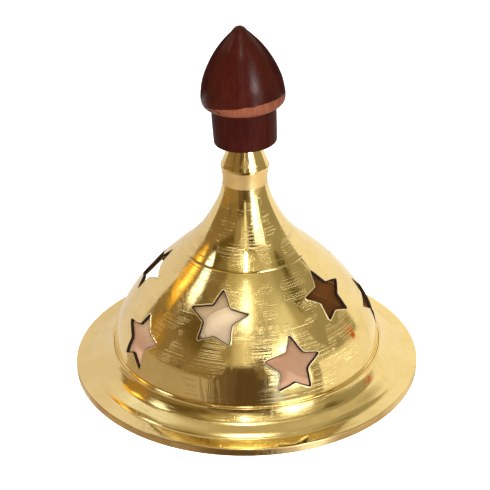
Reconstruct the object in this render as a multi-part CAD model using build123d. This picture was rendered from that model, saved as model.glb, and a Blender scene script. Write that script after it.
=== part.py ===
from build123d import *
import math
import os

# Incense burner: a flanged brass dish that holds a loose burner cup, under a star-pierced brass
# cover that lifts off by its turned wooden knob.
# Millimetres, +Z up. The origin is on the table, on the axis of the dish.

# ---- dish -------------------------------------------------------------------------------------
rim_radius = 56.0
rim_height = 2.5            # height of the plain vertical edge
rim_arris = 0.2             # broken corner along the top of that edge
foot_width = 2.0            # flat ring that the burner stands on
ledge_radius = 43.9         # outer corner of the ledge that the cover sits on
ledge_height = 8.8
# radius and height of the top of the brim: from the flat rim band over the small step and up the
# cove to the ledge
brim_outline = [
    (51.3, 2.78), (51.05, 3.1), (50.7, 3.42), (50.2, 3.7), (49.2, 4.12), (48.1, 4.57), (47.0, 5.07), (46.1, 5.7),
    (45.4, 6.35), (44.8, 6.97), (44.3, 7.6), (ledge_radius, ledge_height - 0.6),
]
spigot_radius = 41.8        # upstand inside the cover's mouth
spigot_wall = 1.4
spigot_height = 2.0
floor_top = 5.0
floor_under = 3.4
floor_corner = 3.0          # radius between the floor and the well's wall
brim_wall = 2.2
socket_radius = 12.1        # low ring that locates the burner cup
socket_wall = 1.2
socket_height = 1.4

# ---- burner cup -------------------------------------------------------------------------------
cup_foot_radius = 11.8
cup_radius = 15.5
cup_height = 6.5
cup_wall = 1.2
cup_bed = 1.7               # top of the cup's floor above its foot
cup_foot_recess = 0.5
cup_waist = 1.7             # height of the straight foot
cup_belly_top = 4.5

# ---- cover ------------------------------------------------------------------------------------
cover_wall = 1.0
cover_mouth_radius = 43.3
# radius and height of the outside of the dome, from the mouth up to the turned shoulder
dome_outline = [(cover_mouth_radius, ledge_height), (41.6, 16.0), (36.6, 25.0), (28.7, 34.5), (20.1, 42.7)]
# the same for the neck, which sweeps up from the shoulder to the land under the ferrule
neck_outline = [(19.7, 43.0), (14.9, 48.2), (10.1, 56.0), (7.9, 61.2), (7.1, 65.0)]
land_thickness = 1.5        # disc that closes the top of the neck
stud_clearance_radius = 2.2

# ---- stars, all cut with one stencil ----------------------------------------------------------
# reach and direction (degrees, anticlockwise seen from outside) of the points and the notches
star_stencil = [
    (9.1, 89), (4.6, 118), (9.3, 161), (4.7, 195), (8.8, 231),
    (5.1, 266), (8.7, 301), (4.6, 340), (9.5, 375), (4.9, 407),
]
star_corner = 0.35          # rounding of every point and notch
star_reach_out = 4.0        # the stencil cuts from this far outside the wall
star_reach_in = 5.0
# azimuth from the front (degrees towards +X), height of the centre, turn of the stencil
upper_stars = [(-95.0, 33.3, -3.0), (-16.6, 32.4, 2.0), (57.9, 33.2, -2.0), (127.0, 32.8, 1.0), (196.0, 33.0, -1.0)]
lower_stars = [(-58.6, 20.0, 3.0), (21.3, 20.0, 0.0), (94.0, 20.6, -2.0), (163.0, 20.2, 2.0), (-128.0, 19.8, 1.0)]

# ---- ferrule, knob and their fixing -----------------------------------------------------------
ferrule_base_radius = neck_outline[-1][0]
ferrule_base = neck_outline[-1][1]
bead_radius = 7.66
bead_height = 71.1          # sharp edge between the waisted band and the cone
cone_top_radius = 4.4
knob_seat = 78.9            # height at which the knob sits on the cone
knob_lean = 2.4             # degrees that the knob leans towards -X, off the square of its bore
knob_offset = 0.25          # how far the middle of its foot lies towards +X from the bore
collar_foot_radius = 9.85
collar_radius = 10.0
collar_height = 12.1
cap_radius = 13.0
cap_rim_height = 14.4       # widest ring of the cap, above the collar's foot
knob_height = 37.4
knob_tip_radius = 1.6       # where the round tip begins
knob_tip_drop = 0.75        # and how far below the top
stud_radius = 2.0
stud_bottom = 58.2
stud_top = 101.0
stud_point = 2.0            # length of the tapered end in the wood
washer_radius = 4.5
washer_thickness = 0.8
nut_across_flats = 7.0
nut_thickness = 3.2


def turned(*edges):
    """Revolve a closed outline, drawn as (radius, height), about the vertical axis."""
    return revolve(Plane.XZ * make_face(list(edges)), Axis.Z)


def inset(points, depth):
    """The outline moved towards the axis side by depth, square to the curve at each point."""
    moved = []
    for i, (radius, height) in enumerate(points):
        before = points[max(i - 1, 0)]
        after = points[min(i + 1, len(points) - 1)]
        run = math.hypot(after[0] - before[0], after[1] - before[1])
        across = (after[1] - before[1]) / run
        along = (after[0] - before[0]) / run
        moved.append((radius - depth * across, height + depth * along))
    return moved


def make_base_dish():
    """Flange, ledge, spigot, well and cup socket, turned from one casting."""
    top = ledge_height + spigot_height
    inner = spigot_radius - spigot_wall
    under = ledge_height - brim_wall
    brim = Spline(brim_outline)
    outside = Polyline(
        brim_outline[0], (rim_radius - rim_arris, rim_height),
        (rim_radius, rim_height - rim_arris), (rim_radius, 0), (rim_radius - foot_width, 0),
        (rim_radius - foot_width, 1.0),
    )
    hollow = ThreePointArc((rim_radius - foot_width, 1.0), (47.6, 2.7), (ledge_radius - 1.0, under - 0.4))
    underside = Polyline(
        (ledge_radius - 1.0, under - 0.4), (ledge_radius - 1.4, under), (inner + 0.9, under),
        (inner - 0.9, floor_under), (0, floor_under), (0, floor_top),
        (socket_radius, floor_top), (socket_radius, floor_top + socket_height),
        (socket_radius + socket_wall, floor_top + socket_height),
        (socket_radius + socket_wall, floor_top), (inner - floor_corner, floor_top),
    )
    well = ThreePointArc(
        (inner - floor_corner, floor_top),
        (inner - floor_corner * (1 - math.sin(math.pi / 4)), floor_top + floor_corner * (1 - math.cos(math.pi / 4))),
        (inner, floor_top + floor_corner),
    )
    spigot = Polyline(
        (inner, floor_top + floor_corner), (inner, top), (spigot_radius - 0.3, top), (spigot_radius, top - 0.3),
        (spigot_radius, ledge_height), (ledge_radius, ledge_height), (ledge_radius, ledge_height - 0.6),
    )
    return turned(brim, outside, hollow, underside, well, spigot)


def make_burner_cup():
    """Small turned bowl whose foot drops into the dish's socket ring."""
    foot = floor_top
    rim = foot + cup_height
    waist = foot + cup_waist
    inside = cup_radius - cup_wall
    outline = Polyline(
        (0, foot + cup_bed), (0, foot + cup_foot_recess), (cup_foot_radius - 2.0, foot + cup_foot_recess),
        (cup_foot_radius - 2.0, foot), (cup_foot_radius, foot), (cup_foot_radius, waist),
    )
    swell = foot + cup_belly_top
    belly = ThreePointArc((cup_foot_radius, waist), (14.5, foot + 2.6), (cup_radius, swell))
    lip = Polyline(
        (cup_radius, swell), (cup_radius, rim - 0.3), (cup_radius - 0.3, rim), (inside, rim), (inside, swell + 0.2),
    )
    bowl = ThreePointArc((inside, swell + 0.2), (13.2, foot + 2.8), (10.4, foot + cup_bed))
    bed = Polyline((10.4, foot + cup_bed), (0, foot + cup_bed))
    return turned(outline, belly, lip, bowl, bed)


def dome_slope(height):
    """Radius of the dome at a height, and the upward tilt of its outward normal in degrees."""
    curve = Spline(dome_outline)
    low, high = 0.0, 1.0
    for _ in range(40):
        middle = (low + high) / 2
        if (curve @ middle).Y < height:
            low = middle
        else:
            high = middle
    tangent = curve % low
    return (curve @ low).X, math.degrees(math.atan2(-tangent.X, tangent.Y))


def make_star_cutter(azimuth, height, turn):
    """Prism of the star stencil, square to the dome's wall at the star's centre."""
    radius, tilt = dome_slope(height)
    around = math.radians(azimuth)
    out = Vector(math.sin(around), -math.cos(around), 0)
    centre = out * radius + Vector(0, 0, height)
    normal = out * math.cos(math.radians(tilt)) + Vector(0, 0, math.sin(math.radians(tilt)))
    sideways = Vector(math.cos(around), math.sin(around), 0)
    points = []
    for reach, angle in star_stencil:
        direction = math.radians(angle + turn)
        points.append((reach * math.cos(direction), reach * math.sin(direction)))
    star = make_face(Polyline(*points, close=True))
    star = fillet(star.vertices(), star_corner)
    plane = Plane(origin=centre - normal * star_reach_in, x_dir=sideways, z_dir=normal)
    return extrude(plane * star, star_reach_in + star_reach_out)


def make_cover_dome():
    """Thin dome and neck in one piece, closed by a land at the top and pierced by ten stars."""
    dome_inside = inset(dome_outline, cover_wall)
    dome_inside[0] = (cover_mouth_radius - cover_wall, ledge_height)
    neck_inside = inset(neck_outline[1:-1], cover_wall)
    land_under = ferrule_base - land_thickness
    shoulder_inside = dome_inside[-1]
    throat = neck_inside[-1]
    shell = turned(
        Spline(dome_outline),
        Line(dome_outline[-1], neck_outline[0]),
        Spline(neck_outline),
        Polyline(
            (ferrule_base_radius, ferrule_base), (stud_clearance_radius, ferrule_base),
            (stud_clearance_radius, land_under), (throat[0] - 0.6, land_under), throat,
        ),
        Spline([throat] + neck_inside[-2::-1] + [shoulder_inside]),
        Spline(dome_inside[::-1]),
        Line(dome_inside[0], dome_outline[0]),
    )
    for star in upper_stars + lower_stars:
        shell -= make_star_cutter(*star)
    return shell


def make_neck_ferrule():
    """Waisted band, sharp bead and cone, bored for the stud and trimmed to the knob's foot."""
    cone_top = knob_seat + 0.6
    spread = (bead_radius - cone_top_radius) / (knob_seat - bead_height)
    band = Spline(
        [(ferrule_base_radius, ferrule_base), (7.05, ferrule_base + 1.6), (7.3, ferrule_base + 3.8),
         (bead_radius, bead_height - 0.2)]
    )
    cone = Polyline(
        (bead_radius, bead_height - 0.2), (bead_radius - 0.1, bead_height),
        (bead_radius - spread * (cone_top - bead_height), cone_top), (stud_clearance_radius, cone_top),
        (stud_clearance_radius, ferrule_base), (ferrule_base_radius, ferrule_base),
    )
    return split(turned(band, cone), knob_foot_plane(), keep=Keep.BOTTOM)


def knob_foot_plane():
    """Plane of the knob's foot, tilted by the knob's lean."""
    lean = math.radians(knob_lean)
    return Plane(
        origin=(knob_offset, 0, knob_seat),
        x_dir=(math.cos(lean), 0, math.sin(lean)),
        z_dir=(-math.sin(lean), 0, math.cos(lean)),
    )


def make_wooden_knob():
    """Collar and acorn cap, turned about the leaning axis and bored upright for the stud."""
    cap_under = (collar_radius + 0.1, collar_height)
    cap_edge = (12.05, collar_height + 0.45)
    tip_start = (knob_tip_radius, knob_height - knob_tip_drop)
    tip_curve = (knob_tip_radius ** 2 + knob_tip_drop ** 2) / (2 * knob_tip_drop)
    half_turn = math.asin(knob_tip_radius / tip_curve) / 2
    tip_middle = (tip_curve * math.sin(half_turn), knob_height - tip_curve * (1 - math.cos(half_turn)))
    outline = [
        Polyline((0, knob_height), (0, 0), (collar_foot_radius - 0.4, 0), (collar_foot_radius, 0.4),
                 (collar_radius, 3.2), cap_under, cap_edge),
        ThreePointArc(cap_edge, (12.75, cap_rim_height - 1.0), (cap_radius, cap_rim_height)),
        Spline([(cap_radius, cap_rim_height), (12.45, 19.4), (11.05, 23.5), (8.95, 27.6), (6.0, 31.8), tip_start],
               tangents=[(0, 1), (-0.75, 0.66)]),
        ThreePointArc(tip_start, tip_middle, (0, knob_height)),
    ]
    knob = knob_foot_plane() * revolve(Plane.XZ * make_face(outline), Axis.Z)
    bore = Pos(0, 0, knob_seat - 2) * Cylinder(
        stud_radius, stud_top - stud_point - knob_seat + 2, align=(Align.CENTER, Align.CENTER, Align.MIN)
    )
    bore_end = Pos(0, 0, stud_top - stud_point) * Cone(
        stud_radius, 0.4, stud_point, align=(Align.CENTER, Align.CENTER, Align.MIN)
    )
    return knob - bore - bore_end


def make_knob_stud():
    """Hanger bolt: machine-threaded below, tapered where it is screwed into the wood."""
    shank = Polyline(
        (0, stud_bottom), (stud_radius - 0.4, stud_bottom), (stud_radius, stud_bottom + 0.4),
        (stud_radius, stud_top - stud_point), (0.4, stud_top), (0, stud_top), close=True,
    )
    return turned(shank)


def make_stud_washer():
    """Plain washer under the land of the neck."""
    top = ferrule_base - land_thickness
    ring = Circle(washer_radius) - Circle(stud_radius + 0.15)
    return extrude(Pos(0, 0, top - washer_thickness) * ring, washer_thickness)


def make_stud_nut():
    """Hexagon nut that draws the stud, knob and ferrule down on the cover."""
    top = ferrule_base - land_thickness - washer_thickness
    hexagon = RegularPolygon(nut_across_flats / 2, 6, major_radius=False) - Circle(stud_radius)
    nut = extrude(Pos(0, 0, top - nut_thickness) * hexagon, nut_thickness)
    corners = Pos(0, 0, top - nut_thickness) * Cone(
        nut_across_flats / 2, nut_across_flats / 2 + nut_thickness * 1.6, nut_thickness,
        align=(Align.CENTER, Align.CENTER, Align.MIN),
    )
    return nut & corners


nodes = {
    "base_dish": make_base_dish(),
    "burner_cup": make_burner_cup(),
    "cover_dome": make_cover_dome(),
    "neck_ferrule": make_neck_ferrule(),
    "wooden_knob": make_wooden_knob(),
    "knob_stud": make_knob_stud(),
    "stud_washer": make_stud_washer(),
    "stud_nut": make_stud_nut(),
}

os.makedirs("parts", exist_ok=True)
for name, shape in nodes.items():
    export_step(shape, "parts/" + name + ".step")
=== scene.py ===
import math

import bpy
import numpy as np
from mathutils import Matrix, Vector, noise
from mathutils.geometry import delaunay_2d_cdt


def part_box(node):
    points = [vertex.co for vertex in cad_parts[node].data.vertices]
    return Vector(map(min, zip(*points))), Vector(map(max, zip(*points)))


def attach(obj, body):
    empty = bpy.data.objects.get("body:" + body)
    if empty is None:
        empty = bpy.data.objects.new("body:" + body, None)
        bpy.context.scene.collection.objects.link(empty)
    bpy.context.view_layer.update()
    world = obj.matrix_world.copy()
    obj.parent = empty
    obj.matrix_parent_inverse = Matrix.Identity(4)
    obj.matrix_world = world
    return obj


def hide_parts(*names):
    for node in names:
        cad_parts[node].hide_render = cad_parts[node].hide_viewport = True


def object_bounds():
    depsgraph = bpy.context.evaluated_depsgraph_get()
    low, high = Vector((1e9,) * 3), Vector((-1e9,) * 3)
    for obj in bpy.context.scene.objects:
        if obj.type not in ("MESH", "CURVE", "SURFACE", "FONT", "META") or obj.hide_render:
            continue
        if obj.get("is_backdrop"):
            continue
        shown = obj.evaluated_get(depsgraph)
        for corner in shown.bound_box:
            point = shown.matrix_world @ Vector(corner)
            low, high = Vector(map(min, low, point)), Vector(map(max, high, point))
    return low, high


# Incense burner: polished brass dish and star-pierced cover with a turned, lacquered wooden knob.
# Outlines are in millimetres as (radius, height) and are scaled to metres when a mesh is made.

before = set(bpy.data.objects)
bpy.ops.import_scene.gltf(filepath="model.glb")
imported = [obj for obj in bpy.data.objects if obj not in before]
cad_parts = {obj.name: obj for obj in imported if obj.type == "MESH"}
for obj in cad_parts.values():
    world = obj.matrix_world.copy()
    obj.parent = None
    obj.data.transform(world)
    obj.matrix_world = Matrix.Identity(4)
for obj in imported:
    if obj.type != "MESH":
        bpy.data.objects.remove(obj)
cad_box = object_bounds()

MM = 0.001
AROUND = 384                # columns round the dish and the cover

# ---- sizes taken from the frame -----------------------------------------------------------------
rim_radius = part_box("base_dish")[1].x / MM
mouth_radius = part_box("cover_dome")[1].x / MM
mouth_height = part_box("cover_dome")[0].z / MM
ferrule_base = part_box("cover_dome")[1].z / MM
stud_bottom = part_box("knob_stud")[0].z / MM
stud_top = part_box("knob_stud")[1].z / MM
stud_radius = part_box("knob_stud")[1].x / MM

# ---- dish ---------------------------------------------------------------------------------------
rim_height = 2.5
ledge = (43.9, 8.2)
# from the flat rim band over the small step and up the cove to the ledge
brim_points = [
    (51.3, 2.78), (51.0, 3.04), (50.6, 3.34), (50.1, 3.67), (49.5, 4.0), (48.9, 4.25), (48.1, 4.57),
    (47.0, 5.07), (46.1, 5.7), (45.4, 6.35), (44.8, 6.97), (44.3, 7.6), ledge,
]
spigot_radius = 41.8
spigot_inner = 40.4
spigot_top = mouth_height + 2.0
floor_top = 5.0
floor_under = 3.4
brim_under = mouth_height - 2.2
socket = (12.1, 13.3, 6.4)  # inner radius, outer radius, top

# ---- cover --------------------------------------------------------------------------------------
cover_wall = 1.0
dome_points = [(mouth_radius, mouth_height), (41.6, 16.0), (36.6, 25.0), (28.7, 34.5), (20.1, 42.7)]
neck_points = [(19.7, 43.0), (14.9, 48.2), (10.1, 56.0), (7.9, 61.2), (7.1, ferrule_base)]
shoulder_groove = [(19.95, 42.70), (19.78, 42.74)]
lip_top = 0.8               # top of the rolled lip, as a distance up the skin from the mouth
skin_spacing = 0.7          # between the rows of the dome's grid
land_thickness = 1.5
stud_clearance = 2.2

# Hand-cut stars: azimuth from the front (degrees towards +X), height, then the reach (mm) and the
# direction (degrees) of each point and notch, anticlockwise from the top point.
plain_star = [
    (9.1, 89), (4.6, 118), (9.3, 161), (4.7, 195), (8.8, 231),
    (5.1, 266), (8.7, 301), (4.6, 340), (9.5, 375), (4.9, 407),
]
front_left_star = [
    (9.1, 90), (4.5, 120), (9.3, 163), (4.5, 199), (8.8, 234),
    (5.4, 267), (9.0, 303), (4.8, 344), (9.5, 377), (4.7, 406),
]
front_right_star = [
    (9.2, 87), (4.7, 110), (9.3, 162), (4.6, 195), (8.7, 229),
    (4.9, 267), (8.6, 302), (4.3, 340), (9.2, 375), (5.1, 403),
]
left_star = [
    (8.7, 94), (4.7, 117), (9.1, 160), (3.6, 193), (7.6, 237),
    (4.5, 270), (9.3, 302), (4.8, 341), (8.6, 376), (5.2, 410),
]
right_star = [
    (8.8, 88), (4.3, 125), (9.0, 160), (4.7, 192), (8.7, 231),
    (5.4, 256), (8.7, 299), (4.4, 332), (9.0, 370), (4.0, 408),
]
stars = [
    (-95.0, 33.3, plain_star), (-16.6, 32.4, front_left_star), (57.9, 33.2, right_star),
    (127.0, 32.8, front_left_star), (196.0, 33.0, plain_star),
    (-58.6, 20.0, left_star), (21.3, 20.0, front_right_star), (94.0, 20.6, plain_star),
    (163.0, 20.2, right_star), (-128.0, 19.8, plain_star),
]
star_tip_round = 0.48
star_notch_round = 0.75
star_spacing = 0.42         # between the points of a star's outline
# distance outside the cut and height above the outer skin: burr and rolled edge, cut wall, inner edge
burr_rings = [(0.68, 0.0), (0.52, 0.05), (0.38, 0.115), (0.27, 0.10), (0.15, 0.02), (0.0, -0.15)]
wall_rings = [(0.0, -0.55), (0.02, -0.86), (0.1, -0.98), (0.3, -1.0)]

# ---- ferrule and knob ---------------------------------------------------------------------------
bead = (7.66, 71.1)
cone_top_radius = 4.4
knob_seat = 78.9
knob_lean = math.radians(2.4)
knob_offset = 0.25
knob_height = 37.4
cap_radius = 13.0
cap_rim = (cap_radius, 14.4)
above_rim = (12.93, 16.4)
tip_foot = (2.4, 35.6)
collar_height = 12.1
thread_pitch = 0.7
thread_depth = 0.38


# ---- outlines -----------------------------------------------------------------------------------
def smooth(points, spacing):
    """Natural cubic spline through the points, sampled about every spacing."""
    knots = np.array(points, float)
    t = np.concatenate([[0.0], np.cumsum(np.linalg.norm(np.diff(knots, axis=0), axis=1))])
    h = np.diff(t)
    n = len(knots)
    lhs = np.eye(n)
    rhs = np.zeros((n, 2))
    for i in range(1, n - 1):
        lhs[i, i - 1:i + 2] = [h[i - 1], 2 * (h[i - 1] + h[i]), h[i]]
        rhs[i] = 6 * ((knots[i + 1] - knots[i]) / h[i] - (knots[i] - knots[i - 1]) / h[i - 1])
    bend = np.linalg.solve(lhs, rhs)
    where = np.linspace(0.0, t[-1], max(2, round(t[-1] / spacing)) + 1)
    span = np.clip(np.searchsorted(t, where, side="right") - 1, 0, n - 2)
    a = ((t[span + 1] - where) / h[span])[:, None]
    b = 1 - a
    step = (h[span] ** 2)[:, None] / 6
    curve = a * knots[span] + b * knots[span + 1]
    curve += step * ((a ** 3 - a) * bend[span] + (b ** 3 - b) * bend[span + 1])
    return [tuple(p) for p in curve]


def straight(start, end, spacing):
    """Points along a straight run, without its first."""
    steps = max(1, round(math.dist(start, end) / spacing))
    return [
        (start[0] + (end[0] - start[0]) * i / steps, start[1] + (end[1] - start[1]) * i / steps)
        for i in range(1, steps + 1)
    ]


def path(spacing, *corners):
    """Straight runs through the corners."""
    points = [corners[0]]
    for corner in corners[1:]:
        points += straight(points[-1], corner, spacing)
    return points


def eased(corners, radius):
    """The outline with the corners between its ends rounded."""
    steps = 5
    out = [corners[0]]
    for before, at, after in zip(corners, corners[1:], corners[2:]):
        cut_in = min(radius, 0.45 * math.dist(before, at))
        cut_out = min(radius, 0.45 * math.dist(at, after))
        a = Vector(at) + (Vector(before) - Vector(at)).normalized() * cut_in
        b = Vector(at) + (Vector(after) - Vector(at)).normalized() * cut_out
        for i in range(steps + 1):
            s = i / steps
            p = a * (1 - s) ** 2 + Vector(at) * 2 * s * (1 - s) + b * s ** 2
            out.append((p.x, p.y))
    return out + [corners[-1]]


def inset(points, depth):
    """The outline moved depth towards its inner side, square to the curve."""
    p = np.array(points)
    along = np.gradient(p, axis=0)
    along /= np.linalg.norm(along, axis=1)[:, None]
    return [tuple(q) for q in p + depth * np.stack([-along[:, 1], along[:, 0]], axis=1)]


# ---- meshes -------------------------------------------------------------------------------------
class Shell:
    """Vertices in millimetres and faces, each with the number of its material."""

    def __init__(self):
        self.vertices = []
        self.faces = []
        self.paint = []

    def add(self, points):
        """Append vertices and give their numbers."""
        first = len(self.vertices)
        self.vertices += [tuple(map(float, p)) for p in points]
        return list(range(first, len(self.vertices)))

    def face(self, corners, paint):
        self.faces.append(tuple(corners))
        self.paint.append(paint)

    def strip(self, ring_a, ring_b, paint):
        """Quads between two rings of equal length, a below or outside b."""
        n = len(ring_a)
        for i in range(n):
            j = (i + 1) % n
            self.face((ring_a[i], ring_a[j], ring_b[j], ring_b[i]), paint)

    def lathe(self, outline, paint_of=lambda radius, height: 0, columns=AROUND, shape=None):
        """Turned surface of an outline that runs with the metal on its left."""
        rings = []
        for radius, height in outline:
            if radius < 1e-6:
                rings.append(self.add([(0, 0, height)]))
                continue
            ring = [turn_point(radius, height, 360 * i / columns) for i in range(columns)]
            rings.append(self.add([shape(p) for p in ring] if shape else ring))
        for (low, high), (a, b) in zip(zip(outline, outline[1:]), zip(rings, rings[1:])):
            paint = paint_of((low[0] + high[0]) / 2, (low[1] + high[1]) / 2)
            if len(a) == 1:
                for i in range(len(b)):
                    self.face((a[0], b[(i + 1) % len(b)], b[i]), paint)
            elif len(b) == 1:
                for i in range(len(a)):
                    self.face((a[i], a[(i + 1) % len(a)], b[0]), paint)
            else:
                self.strip(a, b, paint)

    def piece(self, name, body, nodes, materials, sharp, move=None):
        """Make the Blender object, put it on its body and let it stand for CAD nodes.

        Edges that turn by more than sharp degrees stay crisp.
        """
        mesh = bpy.data.meshes.new(name)
        mesh.from_pydata([(x * MM, y * MM, z * MM) for x, y, z in self.vertices], [], self.faces)
        for material in materials:
            mesh.materials.append(material)
        mesh.polygons.foreach_set("material_index", self.paint)
        if move is not None:
            mesh.transform(move)
        mesh.shade_smooth()
        mesh.set_sharp_from_angle(angle=math.radians(sharp))
        mesh.update()
        obj = bpy.data.objects.new(name, mesh)
        bpy.context.scene.collection.objects.link(obj)
        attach(obj, body)
        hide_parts(*nodes)


def turn_point(radius, height, azimuth):
    """Point at an azimuth measured from the front (-Y) towards +X, in degrees."""
    a = math.radians(azimuth)
    return (radius * math.sin(a), -radius * math.cos(a), height)


def dented(depth, size, seed):
    """A function that moves a point in towards the axis by a smooth random amount."""
    offset = Vector((seed * 17.3, seed * 5.1, seed * 9.7))

    def shape(point):
        p = Vector(point)
        push = depth * (0.5 + 0.5 * noise.noise(p / size + offset))
        out = Vector((p.x, p.y, 0))
        return tuple(p - out.normalized() * push)

    return shape


# ---- materials ----------------------------------------------------------------------------------
# places on the brass with a finish of their own: middle and reach in millimetres
strong_wheel_marks = ((-8.0, -41.0, 15.0), 12.0)
faint_wheel_marks = ((5.0, -36.0, 25.0), 8.0)
well_buffed = ((9.0, -40.0, 16.0), 13.0)
hazy_shoulder = ((0.0, -28.0, 33.0), 19.0)
hazy_steps = [(-40.6, -36.9, 0.06), (-48.5, -45.0, 0.05)]  # from and to (height less radius), more roughness


class Graph:
    """A node tree with short calls for the nodes used here."""

    def __init__(self, tree):
        self.tree = tree
        tree.nodes.clear()

    def node(self, kind, inputs=None, **settings):
        made = self.tree.nodes.new(kind)
        for key, value in settings.items():
            setattr(made, key, value)
        for key, value in (inputs or {}).items():
            if isinstance(value, bpy.types.NodeSocket):
                self.tree.links.new(value, made.inputs[key])
            else:
                made.inputs[key].default_value = value
        return made

    def math(self, operation, a, b=0.0):
        return self.node("ShaderNodeMath", {0: a, 1: b}, operation=operation).outputs[0]

    def dot(self, a, b):
        return self.node("ShaderNodeVectorMath", {0: a, 1: b}, operation="DOT_PRODUCT").outputs["Value"]

    def scaled(self, vector, by):
        return self.node("ShaderNodeVectorMath", {0: vector, 1: by}, operation="MULTIPLY").outputs[0]

    def noise(self, vector, scale, detail=2.0, roughness=0.5, twist=0.0):
        made = self.node("ShaderNodeTexNoise", {
            "Vector": vector, "Scale": scale, "Detail": detail, "Roughness": roughness, "Distortion": twist,
        })
        return made.outputs["Fac"]

    def noise_along(self, distance, scale, detail=2.0, roughness=0.5):
        made = self.node(
            "ShaderNodeTexNoise", {"W": distance, "Scale": scale, "Detail": detail, "Roughness": roughness},
            noise_dimensions="1D",
        )
        return made.outputs["Fac"]

    def spot(self, at, centre, radius, core=0.6):
        """1 within the core share of the radius, 0 beyond the radius."""
        away = self.node("ShaderNodeVectorMath", {0: at, 1: centre}, operation="DISTANCE").outputs["Value"]
        return self.span(away, radius * core, radius, 1.0, 0.0)

    def span(self, value, low, high, to_low=0.0, to_high=1.0):
        """Smooth step of a value between low and high."""
        made = self.node(
            "ShaderNodeMapRange",
            {"Value": value, "From Min": low, "From Max": high, "To Min": to_low, "To Max": to_high},
            interpolation_type="SMOOTHSTEP",
        )
        return made.outputs[0]

    def band(self, value, low, high, soft):
        """1 between low and high, 0 outside them, with soft edges."""
        above_low = self.span(value, low - soft, low + soft)
        return self.math("MULTIPLY", above_low, self.span(value, high - soft, high + soft, 1.0, 0.0))

    def mix(self, factor, a, b):
        made = self.node("ShaderNodeMix", {0: factor, 6: a, 7: b}, data_type="RGBA")
        return made.outputs[2]


def colour(r, g, b):
    return (r, g, b, 1.0)


def new_material(name):
    material = bpy.data.materials.new(name)
    material.use_nodes = True
    return material, Graph(material.node_tree)


def finish_material(graph, sockets):
    shader = graph.node("ShaderNodeBsdfPrincipled", sockets)
    graph.node("ShaderNodeOutputMaterial", {"Surface": shader.outputs[0]})


def place_in_mm(graph):
    """Place in millimetres, distance along a turned outline (height less radius), and height."""
    at = graph.scaled(graph.node("ShaderNodeTexCoord").outputs["Object"], (1 / MM, 1 / MM, 1 / MM))
    apart = graph.node("ShaderNodeSeparateXYZ", {0: at})
    flat = graph.scaled(at, (1.0, 1.0, 0.0))
    radius = graph.node("ShaderNodeVectorMath", {0: flat}, operation="LENGTH").outputs["Value"]
    return at, graph.math("SUBTRACT", apart.outputs["Z"], radius), apart.outputs["Z"]


def tool_marks(graph, at, along):
    """Fine turning lines, and single deeper lines that fade in and out round the piece."""
    worked = graph.span(graph.noise(at, 0.055, detail=1.0), 0.42, 0.60, 0.3, 1.0)
    broken = graph.noise_along(graph.math("ADD", along, 31.7), 2.3, detail=3.0, roughness=0.7)
    broken = graph.math("MULTIPLY", broken, graph.span(graph.noise(at, 0.3, detail=2.0), 0.45, 0.6))
    fine = graph.noise_along(along, 1.4, detail=4.0, roughness=0.7)
    fine = graph.math("ADD", fine, graph.math("MULTIPLY", broken, 0.8))
    level = graph.noise_along(along, 0.7, detail=3.0, roughness=0.75)
    deep = graph.span(graph.math("ABSOLUTE", graph.math("SUBTRACT", level, 0.5)), 0.0, 0.016, 1.0, 0.0)
    deep = graph.math("MULTIPLY", deep, graph.span(graph.noise(at, 0.13, detail=1.0), 0.46, 0.56))
    return fine, graph.math("MULTIPLY", fine, worked), deep


def wheel_marks(graph, at, height):
    """Wavy marks of the buffing wheel, up the front of the lower dome and fainter above that."""
    wave = graph.noise(graph.scaled(at, (1.0, 0.5, 0.1)), 0.24, detail=1.5, twist=0.5)
    wave = graph.math("PINGPONG", graph.math("MULTIPLY", wave, 38.0), 0.5)
    faint = graph.math("MULTIPLY", graph.spot(at, *faint_wheel_marks), 0.22)
    where = graph.math("MAXIMUM", graph.spot(at, *strong_wheel_marks), faint)
    above_lip = graph.span(height, mouth_height + 0.4, mouth_height + 1.0)
    return graph.math("MULTIPLY", wave, graph.math("MULTIPLY", where, above_lip))


def scratches(graph, at):
    """Fine straight scratches in three directions: thin level lines of a noise stretched one way."""
    found = None
    stretch = (0.9, 0.0315, 0.27)
    for turn in ((0.3, 0.2, 0.9), (1.2, -0.4, 2.2), (0.7, 1.1, 0.1)):
        turned = graph.node("ShaderNodeMapping", {"Vector": at, "Rotation": turn, "Scale": stretch})
        level = graph.noise(turned.outputs[0], 1.0, detail=1.0)
        line = graph.span(graph.math("ABSOLUTE", graph.math("SUBTRACT", level, 0.5)), 0.0, 0.012, 1.0, 0.0)
        found = line if found is None else graph.math("MAXIMUM", found, line)
    return graph.math("MULTIPLY", found, graph.span(graph.noise(at, 0.07, detail=1.0), 0.45, 0.62))


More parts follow.
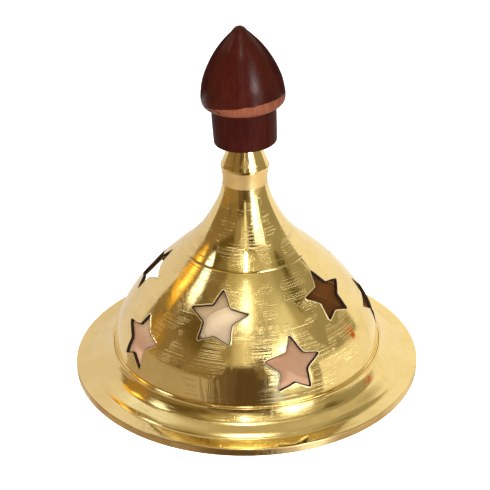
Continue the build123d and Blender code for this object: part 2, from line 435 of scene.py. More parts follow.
def brass(name, bright, dull, gloss, groove, ripple, scuff, metallic=1.0):
    """Turned brass: tool marks round it, wheel marks up the dome, scratches, and duller or hazier places.

    gloss is the range of roughness; groove, ripple and scuff are the depths in millimetres of the tool
    marks, wheel marks and scratches.
    """
    material, graph = new_material(name)
    at, along, height = place_in_mm(graph)
    patches = graph.noise(at, 0.09, detail=3.0)
    fine, turning, deep = tool_marks(graph, at, along)
    lines = scratches(graph, at)
    relief = graph.math("MULTIPLY", turning, groove)
    relief = graph.math("SUBTRACT", relief, graph.math("MULTIPLY", deep, groove * 1.7))
    # shallower on the dish, and buffed smoother low down in front
    depth = graph.span(height, mouth_height - 0.4, mouth_height + 0.4, 0.3, 1.0)
    relief = graph.math("MULTIPLY", relief, depth)
    buffed = graph.math("MULTIPLY", graph.spot(at, *well_buffed), 0.65)
    relief = graph.math("MULTIPLY", relief, graph.math("SUBTRACT", 1.0, buffed))
    waves = graph.math("MULTIPLY", wheel_marks(graph, at, height), ripple)
    relief = graph.math("ADD", relief, waves)
    relief = graph.math("ADD", relief, graph.math("MULTIPLY", graph.noise(at, 0.22, detail=2.0), groove))
    relief = graph.math("SUBTRACT", relief, graph.math("MULTIPLY", lines, scuff))
    bump = graph.node("ShaderNodeBump", {"Height": relief, "Strength": 1.0, "Distance": MM})
    rough = graph.span(patches, 0.3, 0.7, *gloss)
    rough = graph.math("ADD", rough, graph.math("MULTIPLY", turning, 0.04))
    rough = graph.math("ADD", rough, graph.math("MULTIPLY", lines, 0.12))
    # hazier where the buffing wheel skipped: under the shoulder groove in front, and on the brim's steps
    skipped = graph.spot(at, *hazy_shoulder, core=0.0)
    under_groove = graph.span(height, shoulder_groove[0][1] - 1.7, shoulder_groove[0][1] - 0.1, 0.14, 0.0)
    rough = graph.math("ADD", rough, graph.math("MULTIPLY", skipped, under_groove))
    for low, high, haze in hazy_steps:
        rough = graph.math("ADD", rough, graph.math("MULTIPLY", graph.band(along, low, high, 0.3), haze))
    tone = graph.span(graph.math("ADD", patches, graph.math("MULTIPLY", fine, 0.15)), 0.38, 0.78)
    tangent = graph.node("ShaderNodeTangent", direction_type="RADIAL", axis="Z")
    finish_material(graph, {
        "Base Color": graph.mix(tone, bright, dull), "Metallic": metallic, "Roughness": rough,
        "Anisotropic": 0.3, "Anisotropic Rotation": 0.25, "Tangent": tangent.outputs[0],
        "Normal": bump.outputs[0],
    })
    return material


def cut_edge_material():
    """Sawn wall of a star and the outer slope of its burr, painted near-black with a slight mottle: painted
    shade of the cut.
    """
    material, graph = new_material("painted_shade_cut_wall")
    at, _, _ = place_in_mm(graph)
    shade_mottle = graph.noise(at, 1.4, detail=4.0)
    bump = graph.node("ShaderNodeBump", {"Height": graph.noise(at, 3.0, detail=3.0), "Distance": 0.03 * MM})
    finish_material(graph, {
        "Base Color": graph.mix(shade_mottle, colour(0.006, 0.004, 0.003), colour(0.022, 0.011, 0.005)),
        "Specular IOR Level": 0.15, "Roughness": graph.span(shade_mottle, 0.2, 0.8, 0.45, 0.7),
        "Normal": bump.outputs[0],
    })
    return material


def inside_material(name, clean, stained, metallic, patches=()):
    """Brass that was never polished, browned by smoke; patches are (centre, radius, colour) of painted shade
    and painted light laid over it.
    """
    material, graph = new_material(name)
    at, along, _ = place_in_mm(graph)
    stain = graph.noise(at, 0.11, detail=5.0, roughness=0.6)
    rings = graph.noise_along(along, 1.7, detail=3.0)
    height = graph.math("ADD", graph.math("MULTIPLY", rings, 0.02), graph.math("MULTIPLY", stain, 0.03))
    bump = graph.node("ShaderNodeBump", {"Height": height, "Distance": MM})
    skin = graph.mix(graph.span(stain, 0.3, 0.75), clean, stained)
    # the patches: painted shade and painted light laid over the stained brass
    for centre, radius, tint in patches:
        skin = graph.mix(graph.spot(at, centre, radius), skin, tint)
    finish_material(graph, {
        "Base Color": skin,
        "Metallic": metallic, "Roughness": graph.span(stain, 0.2, 0.8, 0.4, 0.55), "Normal": bump.outputs[0],
    })
    return material


def wood_material():
    """Dark red lacquer over turned wood, worn to bare wood under the rim of the cap."""
    material, graph = new_material("lacquered_wood")
    at, _, _ = place_in_mm(graph)
    foot = (0.0, 0.0, knob_seat)
    from_foot = graph.node("ShaderNodeVectorMath", {0: at, 1: foot}, operation="SUBTRACT").outputs[0]
    up = graph.dot(from_foot, (-math.sin(knob_lean), 0.0, math.cos(knob_lean)))
    # the cap was dipped at a tilt, so the bare crescent is widest towards the front right
    widest = math.radians(35)
    dip_height = 14.3
    dip_rise = 2.1
    sideways = graph.dot(at, (math.sin(widest) / cap_radius, -math.cos(widest) / cap_radius, 0.0))
    ragged = graph.noise(at, 0.5, detail=4.0, roughness=0.7)
    line = graph.math("ADD", graph.math("MULTIPLY", sideways, dip_rise), dip_height)
    line = graph.math("ADD", line, graph.math("MULTIPLY", graph.math("SUBTRACT", ragged, 0.5), 0.8))
    under = graph.span(graph.math("SUBTRACT", line, up), -0.1, 0.1)
    above_collar = graph.span(up, collar_height - 0.05, collar_height + 0.1)
    bare = graph.math("MULTIPLY", under, above_collar)
    # drips and scrapes where the crescent runs out on the left
    left_end = graph.span(graph.dot(at, (-1.0, 0.0, 0.0)), 5.0, 8.0)
    flecks = graph.noise(graph.scaled(at, (1.0, 1.0, 1.6)), 1.0, detail=4.0, roughness=0.7)
    flecks = graph.span(flecks, 0.52, 0.56)
    scraped = graph.math("MULTIPLY", left_end, flecks)
    bare = graph.math("MULTIPLY", bare, graph.math("SUBTRACT", 1.0, scraped))
    grain = graph.noise(graph.scaled(at, (1.0, 1.0, 0.12)), 0.9, detail=6.0, roughness=0.65)
    clouds = graph.noise(at, 0.12, detail=3.0)
    lacquer = graph.mix(
        graph.span(grain, 0.3, 0.75), colour(0.0200, 0.0025, 0.0016), colour(0.0290, 0.0044, 0.0027)
    )
    lacquer = graph.mix(
        graph.math("MULTIPLY", graph.span(clouds, 0.4, 0.75), 0.6), lacquer, colour(0.0135, 0.0015, 0.0011)
    )
    raw = graph.mix(graph.span(grain, 0.3, 0.7), colour(0.090, 0.023, 0.010), colour(0.145, 0.043, 0.020))
    skin = graph.mix(bare, lacquer, raw)
    ripple = graph.noise_along(up, 0.9, detail=3.0)
    dust = graph.noise(at, 1.6, detail=3.0, roughness=0.6)
    height = graph.math("ADD", graph.math("MULTIPLY", ripple, 0.02), graph.math("MULTIPLY", dust, 0.05))
    height = graph.math("SUBTRACT", height, graph.math("MULTIPLY", bare, 0.09))
    height = graph.math("ADD", height, graph.math("MULTIPLY", graph.noise(at, 0.35, detail=1.0), 0.05))
    bump = graph.node("ShaderNodeBump", {"Height": height, "Distance": MM})
    # the collar was dipped last and dried duller than the cap
    rough = graph.span(up, collar_height - 1.0, collar_height, 0.42, 0.18)
    rough = graph.math("ADD", rough, graph.math("MULTIPLY", bare, 0.35))
    shine = graph.span(up, collar_height - 1.0, collar_height, 0.05, 0.22)
    finish_material(graph, {
        "Base Color": skin, "Roughness": rough, "IOR": 1.45, "Specular IOR Level": shine,
        "Normal": bump.outputs[0],
    })
    return material


def steel_material():
    """Zinc-plated screw thread, washer and nut."""
    material, graph = new_material("zinc_plate")
    at, _, _ = place_in_mm(graph)
    spangle = graph.noise(at, 0.8, detail=4.0)
    bump = graph.node("ShaderNodeBump", {"Height": spangle, "Distance": 0.02 * MM})
    finish_material(graph, {
        "Base Color": graph.mix(spangle, colour(0.50, 0.50, 0.47), colour(0.68, 0.68, 0.66)),
        "Metallic": 1.0, "Roughness": graph.span(spangle, 0.3, 0.7, 0.28, 0.45), "Normal": bump.outputs[0],
    })
    return material


polished = brass(
    "polished_brass", colour(0.94, 0.76, 0.355), colour(0.88, 0.69, 0.30),
    gloss=(0.04, 0.09), groove=0.009, ripple=0.014, scuff=0.003,
)
edge_brass = brass(
    "edge_brass", colour(0.84, 0.62, 0.29), colour(0.66, 0.44, 0.20),
    gloss=(0.24, 0.36), groove=0.008, ripple=0.0, scuff=0.006,
)
brushed = brass(
    "brushed_brass", colour(0.74, 0.54, 0.24), colour(0.66, 0.46, 0.19),
    gloss=(0.26, 0.34), groove=0.010, ripple=0.0, scuff=0.004, metallic=0.8,
)
# rougher filed finish on the crest of each star's burr; its near-white colour is a painted highlight along
# the star's edge
filed_burr_and_highlight = brass(
    "filed_burr_and_highlight", colour(0.98, 0.90, 0.66), colour(0.94, 0.80, 0.50),
    gloss=(0.34, 0.46), groove=0.006, ripple=0.0, scuff=0.002,
)
raw_inside = inside_material("raw_inside", colour(0.66, 0.40, 0.17), colour(0.46, 0.25, 0.09), metallic=0.45)
# painted shade: the back right of the well is painted dark brown where light through the stars does not reach
painted_shade_back_right = ((28.0, 30.0, 7.0), 26.0, colour(0.18, 0.075, 0.020))       # thick at the back right of the well
# painted light: a pale cream patch on the well floor behind the cup, as if lit through the stars
painted_light_back_left = ((-17.0, 17.0, 5.0), 22.0, colour(0.92, 0.72, 0.42))
dish_inside = inside_material(
    "dish_inside", colour(0.80, 0.52, 0.34), colour(0.70, 0.43, 0.27), metallic=0.12, patches=(painted_shade_back_right, painted_light_back_left)
)
ash_white = inside_material("ash_white", colour(0.80, 0.67, 0.48), colour(0.72, 0.56, 0.37), metallic=0.05)
painted_shade_cut_wall = cut_edge_material()
lacquered_wood = wood_material()
zinc_plate = steel_material()


# ---- dish ---------------------------------------------------------------------------------------
def make_dish():
    """Brim, ledge, spigot, well, socket ring and hollow underside."""
    brim = smooth(brim_points, 0.3)
    edge = eased([
        brim_points[0], (rim_radius - 0.25, rim_height + 0.02), (rim_radius, rim_height - 0.3),
        (rim_radius, 0.25), (rim_radius - 0.25, 0.0), (rim_radius - 2.0, 0.0), (rim_radius - 2.2, 1.0),
    ], 0.12)
    band = path(0.5, edge[0], *edge[1:])
    hollow = smooth([band[-1], (50.4, 2.0), (47.6, 2.8), (44.6, 4.5), (42.9, brim_under - 0.4)], 0.8)
    under = path(
        1.0, hollow[-1], (42.5, brim_under), (spigot_inner + 0.9, brim_under),
        (spigot_inner - 0.9, floor_under), (0.0, floor_under),
    )
    ring_in, ring_out, ring_top = socket
    floor = eased([
        (0.0, floor_top), (ring_in, floor_top), (ring_in, ring_top), (ring_out, ring_top),
        (ring_out, floor_top), (spigot_inner, floor_top), (spigot_inner, spigot_top),
        (spigot_radius, spigot_top), (spigot_radius, mouth_height), (42.7, mouth_height),
    ], 0.25)
    # fine groove under the cover's lip, then the rounded outer corner of the ledge
    corner = [
        (42.95, mouth_height - 0.02), (43.2, mouth_height - 0.3), (43.4, mouth_height - 0.06),
        (43.6, mouth_height), (43.82, mouth_height - 0.03), (43.9, mouth_height - 0.14), ledge,
    ]
    floor = path(1.2, *floor) + corner
    dish = Shell()
    outline = brim[::-1] + band[1:] + hollow[1:] + under[1:]
    top_radius, top_height = np.array(brim[::-1] + [edge[1]]).T

    def paint(radius, height):
        if radius > rim_radius - 0.4 and height < rim_height - 0.1:
            return 1
        return 0 if radius > ledge[0] and height > np.interp(radius, top_radius, top_height) - 0.4 else 2

    shape = dented(0.035, 7.0, 1)
    dish.lathe(outline[::-1], paint_of=paint, shape=shape)
    dish.lathe(floor[::-1], paint_of=lambda r, h: 0 if r > 41.9 else 2, shape=shape)
    dish.piece(
        "dish", "base", ["base_dish"], [polished, edge_brass, dish_inside], sharp=50
    )


# ---- cover --------------------------------------------------------------------------------------
class Dome:
    """Outer skin of the dome, addressed by azimuth (degrees) and distance up from the mouth."""

    def __init__(self):
        points = np.array(smooth(dome_points, 0.05))
        self.up = np.concatenate([[0.0], np.cumsum(np.linalg.norm(np.diff(points, axis=0), axis=1))])
        self.points = points
        slope = np.gradient(points, self.up, axis=0)
        self.out = np.stack([slope[:, 1], -slope[:, 0]], axis=1)

    def at(self, azimuth, up, lift=0.0):
        """Points at azimuths and distances up, moved lift along the normal."""
        a = np.radians(azimuth)
        radius = np.interp(up, self.up, self.points[:, 0]) + lift * np.interp(up, self.up, self.out[:, 0])
        height = np.interp(up, self.up, self.points[:, 1]) + lift * np.interp(up, self.up, self.out[:, 1])
        return np.stack([radius * np.sin(a), -radius * np.cos(a), height], axis=-1)

    def from_star(self, azimuth, height, flat):
        """Azimuth and distance up of points given in the star's own plane, by correcting a first guess."""
        middle_up = np.interp(height, self.points[:, 1], self.up)
        a = math.radians(azimuth)
        tilt = np.array([np.interp(middle_up, self.up, self.out[:, i]) for i in range(2)])
        normal = np.array([math.sin(a) * tilt[0], -math.cos(a) * tilt[0], tilt[1]])
        side = np.array([math.cos(a), math.sin(a), 0.0])
        rise = np.cross(normal, side)
        centre = self.at(azimuth, middle_up)
        per_degree = math.hypot(*centre[:2]) * math.pi / 180
        place = np.stack([azimuth + flat[:, 0] / per_degree, middle_up + flat[:, 1]], axis=1)
        for _ in range(12):
            gone = self.at(place[:, 0], place[:, 1]) - centre
            miss_side = flat[:, 0] - gone @ side
            miss_up = flat[:, 1] - gone @ rise
            place += np.stack([miss_side / per_degree, miss_up], axis=1)
        return place, per_degree


def star_outline(star, seed):
    """Closed outline of a hand-cut star in its own plane, with rounded corners and a little wander."""
    corners = []
    for reach, degrees in star:
        turn = math.radians(degrees)
        corners.append(Vector((reach * math.cos(turn), reach * math.sin(turn))))
    n = len(corners)
    rounded = []
    for i, at in enumerate(corners):
        cut = star_tip_round if i % 2 == 0 else star_notch_round
        a = at + (corners[i - 1] - at).normalized() * cut
        b = at + (corners[(i + 1) % n] - at).normalized() * cut
        for k in range(5):
            s = k / 4
            rounded.append(a * (1 - s) ** 2 + at * 2 * s * (1 - s) + b * s ** 2)
    outline = []
    for a, b in zip(rounded, rounded[1:] + rounded[:1]):
        steps = max(1, round((b - a).length / star_spacing))
        outline += [a.lerp(b, k / steps) for k in range(steps)]
    wander = [0.16 * noise.noise(Vector((p.x * 0.45, p.y * 0.45, seed * 3.7))) for p in outline]
    points = np.array([(p.x, p.y) for p in outline])
    return points + np.array(wander)[:, None] * outward(points)


def outward(points):
    """Unit normals of a closed anticlockwise outline, pointing out."""
    along = np.roll(points, -1, axis=0) - np.roll(points, 1, axis=0)
    along /= np.linalg.norm(along, axis=1)[:, None]
    return np.stack([along[:, 1], -along[:, 0]], axis=1)


def inside_outline(outline, point):
    """Whether a point lies inside a closed outline."""
    x, y = point
    ax, ay = outline[:, 0], outline[:, 1]
    bx, by = np.roll(ax, -1), np.roll(ay, -1)
    crosses = (ay > y) != (by > y)
    where = ax + (y - ay) * (bx - ax) / np.where(by == ay, 1e-9, by - ay)
    return bool(np.sum(crosses & (x < where)) % 2)


def fill_window(skin_at, window, outline, per_degree):
    """Triangles between a window of the dome's grid and the star's outer ring.

    Gives triangles whose corners are grid places (column, row) or numbers on the ring.
    """
    left, right, low, high = window
    edge = [(c, low) for c in range(left, right)] + [(right, r) for r in range(low, high)]
    edge += [(c, high) for c in range(right, left, -1)] + [(left, r) for r in range(high, low, -1)]
    ring = outline * [per_degree, 1.0]
    labels = list(edge)
    places = [Vector((skin_at(c, r)[0] * per_degree, skin_at(c, r)[1])) for c, r in edge]
    for c in range(left + 1, right):
        for r in range(low + 1, high):
            azimuth, up = skin_at(c, r)
            p = np.array([azimuth * per_degree, up])
            if inside_outline(ring, p) or np.min(np.linalg.norm(ring - p, axis=1)) < star_spacing:
                continue
            labels.append((c, r))
            places.append(Vector(p))
    first = len(labels)
    labels += list(range(len(ring)))
    places += [Vector(p) for p in ring]
    lines = [(i, (i + 1) % len(edge)) for i in range(len(edge))]
    lines += [(first + i, first + (i + 1) % len(ring)) for i in range(len(ring))]
    made = delaunay_2d_cdt(places, lines, [], 0, 1e-6)
    triangles = []
    for corners in made[2]:
        middle = sum((made[0][i] for i in corners), Vector((0, 0))) / len(corners)
        if not inside_outline(ring, middle):
            triangles.append([labels[made[3][i][0]] for i in corners])
    return triangles


def make_cover():
    """Pierced dome and neck in one piece, with a land that closes the neck."""
    dome = Dome()
    rows = round(dome.up[-1] / skin_spacing)
    heights = np.linspace(lip_top, dome.up[-1], rows + 1)
    columns = AROUND
    azimuths = 360.0 * np.arange(columns) / columns
    cover = Shell()

    def skin_at(column, row):
        return (360.0 * column / columns, heights[row])

    def skin(lift):
        """Numbers of the dome's grid vertices, one list per row."""
        return [cover.add(dome.at(azimuths, np.full(columns, up), lift)) for up in heights]

    def edge_paint(step):
        """Material of a step from the outer skin over the burr and through the wall to the inside: the burr's
        crest carries the pale painted highlight, and from there down through the wall comes the near-black
        painted shade.
        """
        if step == 0:
            return 0
        # the burr's crest: filed finish with a painted highlight
        if step < len(burr_rings) - 3:
            return 3
        # outer slope of the burr and the cut wall: near-black painted shade
        return 2 if step < len(burr_rings) + 3 else 1

    def level_ring(radius, height):
        """Numbers of the vertices of one level ring."""
        return cover.add([turn_point(radius, height, 360 * i / columns) for i in range(columns)])

    def on_skin(corner, ring, grid):
        """Vertex number of a corner from fill_window."""
        return ring[corner] if isinstance(corner, int) else grid[corner[1]][corner[0] % columns]

    outer = skin(0.0)
    inner = skin(-cover_wall)
    covered = set()
    for number, (azimuth, height, star) in enumerate(stars):
        flat = star_outline(star, number)
        out = outward(flat)
        rings = [
            (*dome.from_star(azimuth % 360, height, flat + distance * out), lift)
            for distance, lift in burr_rings + wall_rings
        ]
        edge_ring, per_degree, _ = rings[0]
        # the cells of the grid that the star takes up: first and last column, first and last row
        window = (
            math.floor(edge_ring[:, 0].min() * columns / 360 - 0.7),
            math.ceil(edge_ring[:, 0].max() * columns / 360 + 0.7),
            max(1, int(np.searchsorted(heights, edge_ring[:, 1].min() - 0.4)) - 1),
            min(rows - 1, int(np.searchsorted(heights, edge_ring[:, 1].max() + 0.4))),
        )
        for c in range(window[0], window[1]):
            covered.update((c % columns, r) for r in range(window[2], window[3]))
        loops = [cover.add(dome.at(place[:, 0], place[:, 1], lift)) for place, _, lift in rings]
        inner_loop = cover.add(dome.at(edge_ring[:, 0], edge_ring[:, 1], -cover_wall))
        for corners in fill_window(skin_at, window, edge_ring, per_degree):
            cover.face([on_skin(c, loops[0], outer) for c in corners], 0)
            cover.face([on_skin(c, inner_loop, inner) for c in corners[::-1]], 1)
        chain = loops + [inner_loop]
        for i, (a, b) in enumerate(zip(chain, chain[1:])):
            cover.strip(b, a, edge_paint(i))
    for r in range(rows):
        for c in range(columns):
            if (c, r) in covered:
                continue
            d = (c + 1) % columns
            cover.face((outer[r][c], outer[r][d], outer[r + 1][d], outer[r + 1][c]), 0)
            cover.face((inner[r + 1][c], inner[r + 1][d], inner[r][d], inner[r][c]), 1)

    # rolled lip of the mouth with a fine groove over it
    lip = [
        (-cover_wall, 0.0), (-0.24, 0.0), (-0.07, 0.04), (0.0, 0.1), (-0.03, 0.17), (-0.11, 0.26),
        (-0.21, 0.35), (-0.31, 0.43), (-0.38, 0.5), (-0.36, 0.58), (-0.2, 0.66),
    ]
    chain = [inner[0]] + [level_ring(mouth_radius + r, mouth_height + h) for r, h in lip] + [outer[0]]
    for i, (a, b) in enumerate(zip(chain, chain[1:])):
        cover.strip(a, b, 1 if i == 0 else 0)

    # neck and land
    neck = smooth(neck_points, 0.5)
    neck_inner = inset(neck, cover_wall)[::-1]
    land_under = ferrule_base - land_thickness
    throat = [p for p in neck_inner if p[1] < land_under - 0.3]
    outside = shoulder_groove + neck
    land = [(stud_clearance, ferrule_base), (stud_clearance, land_under), (throat[0][0] - 0.4, land_under)]
    loops = [outer[-1]] + [level_ring(r, h) for r, h in outside + land + throat[:-1]] + [inner[-1]]
    for i, (a, b) in enumerate(zip(loops, loops[1:])):
        cover.strip(a, b, 0 if i <= len(outside) else 1)
    # in the order of the numbers that the faces carry
    materials = [polished, raw_inside, painted_shade_cut_wall, filed_burr_and_highlight]
    cover.piece("cover", "cover", ["cover_dome"], materials, sharp=42)


# ---- ferrule, knob and stud ---------------------------------------------------------------------
def knob_frame():
    """Place of the knob: its foot on the cone, leaning towards -X."""
    return Matrix.Translation((knob_offset * MM, 0, knob_seat * MM)) @ Matrix.Rotation(-knob_lean, 4, "Y")


def make_ferrule():
    """Waisted band, sharp bead, and cone that fades into the knob's foot."""
    band = smooth([(7.1, ferrule_base), (7.05, 66.6), (7.3, 68.8), (bead[0] - 0.02, bead[1] - 0.22)], 0.3)
    spread = (bead[0] - cone_top_radius) / (knob_seat - bead[1])
    cone_end = knob_seat - 0.2
    cone = path(0.5, (bead[0] - 0.12, bead[1]), (bead[0] - spread * (cone_end - bead[1]), cone_end))
    bore_foot = (stud_clearance, ferrule_base + 0.01)
    outline = [bore_foot] + band + [(bead[0], bead[1] - 0.08)] + cone
    outline += [(stud_clearance, cone_end), bore_foot]
    ferrule = Shell()
    ferrule.lathe(outline, columns=192, paint_of=lambda r, h: 1 if r > 6 and h < bead[1] - 0.7 else 0)
    ferrule.piece("ferrule", "cover", ["neck_ferrule"], [polished, brushed], sharp=30)


def make_knob():
    """Collar and pointed cap, turned by hand about the leaning axis."""
    under_edge = (11.7, collar_height + 0.35)
    foot = eased([(0.0, 0.0), (9.82, 0.0), (9.95, 3.2), (10.1, collar_height), under_edge], 0.28)
    rim = smooth([under_edge, (12.15, collar_height + 0.6), (12.72, 13.35), cap_rim, above_rim], 0.3)
    side = smooth([above_rim, (12.45, 19.4), (11.05, 23.5), (8.95, 27.6), (6.0, 31.8), tip_foot], 0.4)
    tip = smooth([tip_foot, (1.9, 36.3), (1.1, 36.93), (0.0, knob_height - 0.15)], 0.2)
    outline = path(0.5, *foot) + rim[1:] + side[1:] + tip[1:]
    knob = Shell()
    knob.lathe(outline, columns=256, shape=dented(0.05, 5.0, 4))
    knob.piece(
        "knob", "cover", ["wooden_knob"], [lacquered_wood], sharp=32, move=knob_frame()
    )


def make_stud():
    """Hanger bolt with a rolled thread."""
    around = 40
    stud = Shell()
    rings = []
    per_turn = 8
    steps = round((stud_top - stud_bottom) / thread_pitch * per_turn)
    levels = np.linspace(stud_bottom, stud_top, steps + 1)
    for height in levels:
        ring = []
        for i in range(around):
            turn = i / around
            phase = (height / thread_pitch + turn) % 1.0
            crest = 1 - abs(2 * phase - 1)
            taper = min(1.0, (height - stud_bottom) / 0.6 + 0.25, (stud_top - height) / 2.0 + 0.2)
            radius = (stud_radius - 0.01 - thread_depth * (1 - crest)) * taper
            ring.append(turn_point(radius, height, 360 * turn))
        rings.append(stud.add(ring))
    for a, b in zip(rings, rings[1:]):
        stud.strip(a, b, 0)
    stud.face(rings[0][::-1], 0)
    stud.face(rings[-1], 0)
    stud.piece("stud", "cover", ["knob_stud"], [zinc_plate], sharp=60)


make_dish()
make_cover()
make_ferrule()
make_knob()
make_stud()

for node, material in (("burner_cup", ash_white), ("stud_washer", zinc_plate), ("stud_nut", zinc_plate)):
    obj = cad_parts[node]
    obj.data.materials.clear()
    obj.data.materials.append(material)


# ---- studio -------------------------------------------------------------------------------------
def make_camera():
    """Camera at the height and distance from which the burner is seen, its horizon slightly off level."""
    place = Vector((0.0, -448.6, 282.9)) * MM
    target = Vector((0.0, 0.0, 42.12)) * MM
    roll = -0.0094
    forward = (target - place).normalized()
    right = forward.cross(Vector((0, 0, 1))).normalized()
    up = right.cross(forward)
    side = right * math.cos(roll) + up * math.sin(roll)
    top = up * math.cos(roll) - right * math.sin(roll)
    camera = bpy.data.objects.new("camera", bpy.data.cameras.new("camera"))
    camera.data.sensor_width = 36.0
    camera.data.lens = 117.29
    camera.data.shift_x = -0.00124
    camera.data.clip_start = 0.01
    matrix = Matrix((side, top, -forward)).transposed().to_4x4()
    matrix.translation = place
    camera.matrix_world = matrix
    bpy.context.scene.collection.objects.link(camera)
    bpy.context.scene.camera = camera


def make_floor():
    """Round pale table top, bright enough to run into the white surroundings.

    Reflections pass through it, to the panels of the surroundings that lie below the horizon.
    """
    mesh = bpy.data.meshes.new("table_top")
    around = 96
    table_radius = 0.6
    ring = [turn_point(table_radius, 0, 360 * i / around) for i in range(around)]
    mesh.from_pydata(ring, [], [tuple(range(around))])
    floor = bpy.data.objects.new("table_top", mesh)
    bpy.context.scene.collection.objects.link(floor)
    material, graph = new_material("pale_table")
    diffuse = graph.node("ShaderNodeBsdfDiffuse", {"Color": colour(0.9, 0.9, 0.9)})
    glow = graph.node("ShaderNodeEmission", {"Color": colour(1, 1, 1), "Strength": 0.72})
    lit = graph.node("ShaderNodeAddShader", {0: diffuse.outputs[0], 1: glow.outputs[0]})
    clear = graph.node("ShaderNodeBsdfTransparent")
    seen = graph.node("ShaderNodeLightPath")
    shown = graph.node(
        "ShaderNodeMixShader", {0: seen.outputs["Is Glossy Ray"], 1: lit.outputs[0], 2: clear.outputs[0]}
    )
    graph.node("ShaderNodeOutputMaterial", {"Surface": shown.outputs[0]})
    mesh.materials.append(material)
    floor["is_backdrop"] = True


def make_card(name, near, far, bottom, tint):
    """Upright card that only reflections see, between two upper corners, down to the bottom."""
    corners = [(near[0], near[1], bottom), (far[0], far[1], bottom), far, near]
    mesh = bpy.data.meshes.new(name)
    mesh.from_pydata([[v * MM for v in p] for p in corners], [], [(0, 1, 2, 3)])
    card = bpy.data.objects.new(name, mesh)
    bpy.context.scene.collection.objects.link(card)
    material, graph = new_material(name)
    light = graph.node("ShaderNodeEmission", {"Color": colour(*tint), "Strength": 1.0})
    graph.node("ShaderNodeOutputMaterial", {"Surface": light.outputs[0]})
    mesh.materials.append(material)
    card.visible_camera = False
    card.visible_diffuse = False
    card.visible_shadow = False
    card.visible_transmission = False
    card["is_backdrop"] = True


# Cards near the burner, in place of what stood close to it: two upper corners, the height of the lower
# edge, and the light's colour.
cards = [
    ("card_left", (-65, -131, 72), (-22, -131, 72), -30, (0.165, 0.110, 0.060)),
    ("card_middle", (-22, -131, 72), (19, -131, 72), -30, (0.108, 0.066, 0.031)),
    ("card_right", (19, -131, 40), (40, -131, 40), -30, (0.105, 0.065, 0.030)),
    ("card_upper_right", (19, -131, 72), (42, -131, 72), 40, (0.21, 0.145, 0.068)),
    ("card_furniture", (-128, 8, 68), (-127, -36, 68), 27, (0.37, 0.215, 0.05)),
    ("card_window", (50.7, -93.5, 81), (61.9, -83.1, 81), 43, (4.5, 4.5, 4.3)),
    ("card_behind_cap", (-90, 28, 125), (90, 28, 125), 80, (0.09, 0.05, 0.045)),
    ("card_orange", (99.0, -3.8, 40), (96.9, 3.2, 36), 23, (0.55, 0.12, 0.02)),
    ("card_side", (124, -84, 46), (134, 68, 21), -60, (0.96, 0.87, 0.70)),
    ("card_far_left", (-134, 35, 27), (-124, -60, 31), -60, (0.48, 0.38, 0.27)),
    ("card_near_left", (-124, -60, 31), (-66, -131.5, 36), -60, (0.46, 0.37, 0.26)),
]


def make_lamp(name, azimuth, elevation, distance, size, power):
    """Small square lamp, slightly warm, that looks at the middle of the burner."""
    a, e = math.radians(azimuth), math.radians(elevation)
    away = Vector((math.sin(a) * math.cos(e), -math.cos(a) * math.cos(e), math.sin(e)))
    light = bpy.data.lights.new(name, "AREA")
    light.size = size
    light.energy = power
    light.color = (1.0, 0.97, 0.93)
    lamp = bpy.data.objects.new(name, light)
    lamp.location = Vector((0, 0, 0.045)) + away * distance
    lamp.rotation_euler = away.to_track_quat("Z", "Y").to_euler()
    lamp.visible_glossy = False
    bpy.context.scene.collection.objects.link(lamp)


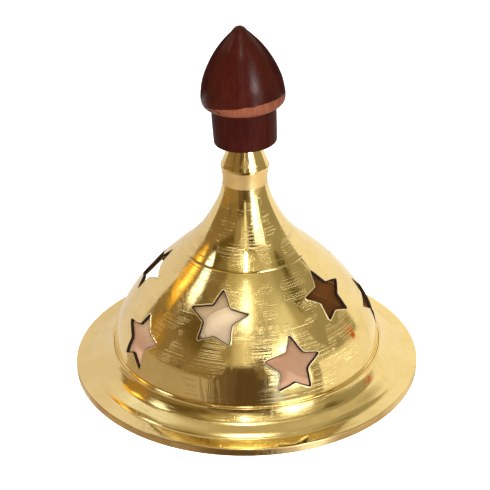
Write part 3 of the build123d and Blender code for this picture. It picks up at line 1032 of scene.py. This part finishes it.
# Panels of the surroundings, each over the ones before it: azimuth limits (0 in front, towards +X) and
# elevation limits, softness of the upright and of the level edges, all in degrees, and the light's colour.
# The azimuths of a "side" panel have a sign; those of an "either" panel hold on both sides.
surroundings = [
    ("either", (0, 90), (-95, 95), (6, 6), (0.46, 0.39, 0.24)),         # walls and ceiling of the room
    ("side", (-60, 60), (75, 95), (14, 5), (1.25, 1.25, 1.15)),         # lit ceiling
    ("side", (-36, 36), (73, 86), (8, 2), (4.5, 4.5, 4.3)),             # ceiling lamp
    ("either", (116, 190), (-95, 42), (1.5, 6), (0.95, 0.88, 0.76)),    # white sweep behind
    ("either", (116, 190), (42, 70), (1.5, 8), (0.60, 0.53, 0.39)),     # wall above it
    ("side", (-190, -100), (42, 64), (4, 6), (0.90, 0.88, 0.86)),       # paler wall, back left
    ("side", (-190, -116), (-95, 40), (1.5, 6), (0.75, 0.68, 0.65)),    # greyer end of the sweep
    # darker and paler parts of the room, beside the burner and behind the camera
    ("side", (-116, -28), (-14, 56), (1.5, 3), (0.25, 0.17, 0.08)),
    ("side", (-74, -44), (52, 68), (8, 5), (0.21, 0.15, 0.07)),
    ("side", (-52, -28), (-30, 16), (3, 3), (0.25, 0.165, 0.06)),
    ("side", (-116, -28), (-30, 4), (2, 3), (0.30, 0.20, 0.085)),
    ("side", (-46, -12), (50, 66), (4, 4), (0.44, 0.35, 0.16)),
    ("side", (-62, -58), (11, 18), (1, 2), (0.06, 0.03, 0.015)),
    ("side", (56, 117), (-40, 58), (2, 3), (0.34, 0.29, 0.175)),
    ("side", (-28, 60), (-6, 52), (2, 5), (0.32, 0.25, 0.13)),
    ("side", (56, 74), (34, 46), (4, 4), (0.44, 0.37, 0.22)),
    ("side", (-14, 9), (28, 46), (3, 4), (0.66, 0.57, 0.38)),
    ("side", (11, 27), (30, 45), (2, 2), (0.05, 0.03, 0.015)),
    ("side", (-28, 22), (-30, 24), (2, 3), (0.10, 0.055, 0.017)),
    ("side", (7, 20), (-30, 26), (2, 3), (0.28, 0.21, 0.095)),
    ("side", (-32, 24), (-95, -6), (4, 3), (0.11, 0.07, 0.035)),
    ("side", (-116, -32), (-95, -14), (6, 4), (0.44, 0.35, 0.24)),
    ("side", (-22, 34), (52, 70), (10, 5), (0.58, 0.50, 0.29)),
    ("side", (74, 92), (40, 49), (1, 1), (0.09, 0.068, 0.012)),
    ("side", (-88, -34), (31, 50), (3, 3), (0.12, 0.08, 0.026)),
    ("side", (36, 62), (38, 54), (5, 6), (0.76, 0.70, 0.50)),           # glow over the window
    ("side", (21, 29), (-28, 30), (1.5, 3), (0.60, 0.67, 0.88)),        # blue edge of the window
    ("side", (28, 54), (-45, -17), (2, 2), (1.7, 1.8, 1.9)),            # daylight under the window
    ("side", (27, 55), (-6, 38), (1, 2), (2.2, 2.2, 2.1)),              # window
    ("side", (30, 41), (10, 27), (3, 3), (13.0, 13.0, 12.5)),           # brightest part of the window
    ("side", (-4, 4), (-10, 50), (1, 4), (1.0, 0.92, 0.70)),            # glow under the lamp
    ("side", (-4.5, 4.5), (51, 62), (1, 1.5), (9.0, 8.8, 8.5)),         # lamp over the camera
    ("side", (-118, -98), (27, 42), (1.5, 1.5), (1.0, 0.53, 0.04)),     # lamp shade
    ("side", (-109, -101), (31, 39), (2, 2), (2.2, 1.6, 0.5)),          # bulb behind the shade
    ("side", (-92, -79), (40, 50), (2, 2), (3.0, 3.0, 3.0)),            # small white lamp
]


def make_surroundings():
    """Plain white to the camera, and the panels of the room to reflections and as soft light."""
    strength = 1.05
    world = bpy.data.worlds.new("studio")
    world.use_nodes = True
    bpy.context.scene.world = world
    graph = Graph(world.node_tree)
    way = graph.node("ShaderNodeTexCoord").outputs["Generated"]
    apart = graph.node("ShaderNodeSeparateXYZ", {0: way})
    front = graph.math("MULTIPLY", apart.outputs["Y"], -1.0)
    degrees = 180 / math.pi
    azimuth = graph.math("MULTIPLY", graph.math("ARCTAN2", apart.outputs["X"], front), degrees)
    elevation = graph.math("MULTIPLY", graph.math("ARCSINE", apart.outputs["Z"]), degrees)
    across = {"side": azimuth, "either": graph.math("ABSOLUTE", azimuth)}
    light = colour(0.50, 0.43, 0.30)
    for which, (left, right), (low, high), (soft_side, soft_up), tint in surroundings:
        beside = graph.band(across[which], left, right, soft_side)
        mask = graph.math("MULTIPLY", beside, graph.band(elevation, low, high, soft_up))
        light = graph.mix(mask, light, colour(*tint))
    room = graph.node("ShaderNodeBackground", {"Color": light, "Strength": strength})
    plain = graph.node("ShaderNodeBackground", {"Color": colour(1, 1, 1), "Strength": strength})
    seen = graph.node("ShaderNodeLightPath")
    both = graph.node(
        "ShaderNodeMixShader", {0: seen.outputs["Is Camera Ray"], 1: room.outputs[0], 2: plain.outputs[0]}
    )
    graph.node("ShaderNodeOutputWorld", {"Surface": both.outputs[0]})


make_camera()
make_floor()
for card in cards:
    make_card(*card)
make_lamp("key", azimuth=0, elevation=52, distance=0.8, size=0.05, power=2.6)
# the fill lamp stands at the camera's place, so the shadows it casts inside the stars are out of sight
make_lamp("fill", azimuth=0, elevation=27.94, distance=0.51, size=0.03, power=3.5)
make_surroundings()
bpy.context.scene.view_settings.view_transform = "Standard"

boxes = {"cad": cad_box, "visual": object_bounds()}
{name: [list(corner) for corner in box] for name, box in boxes.items()}
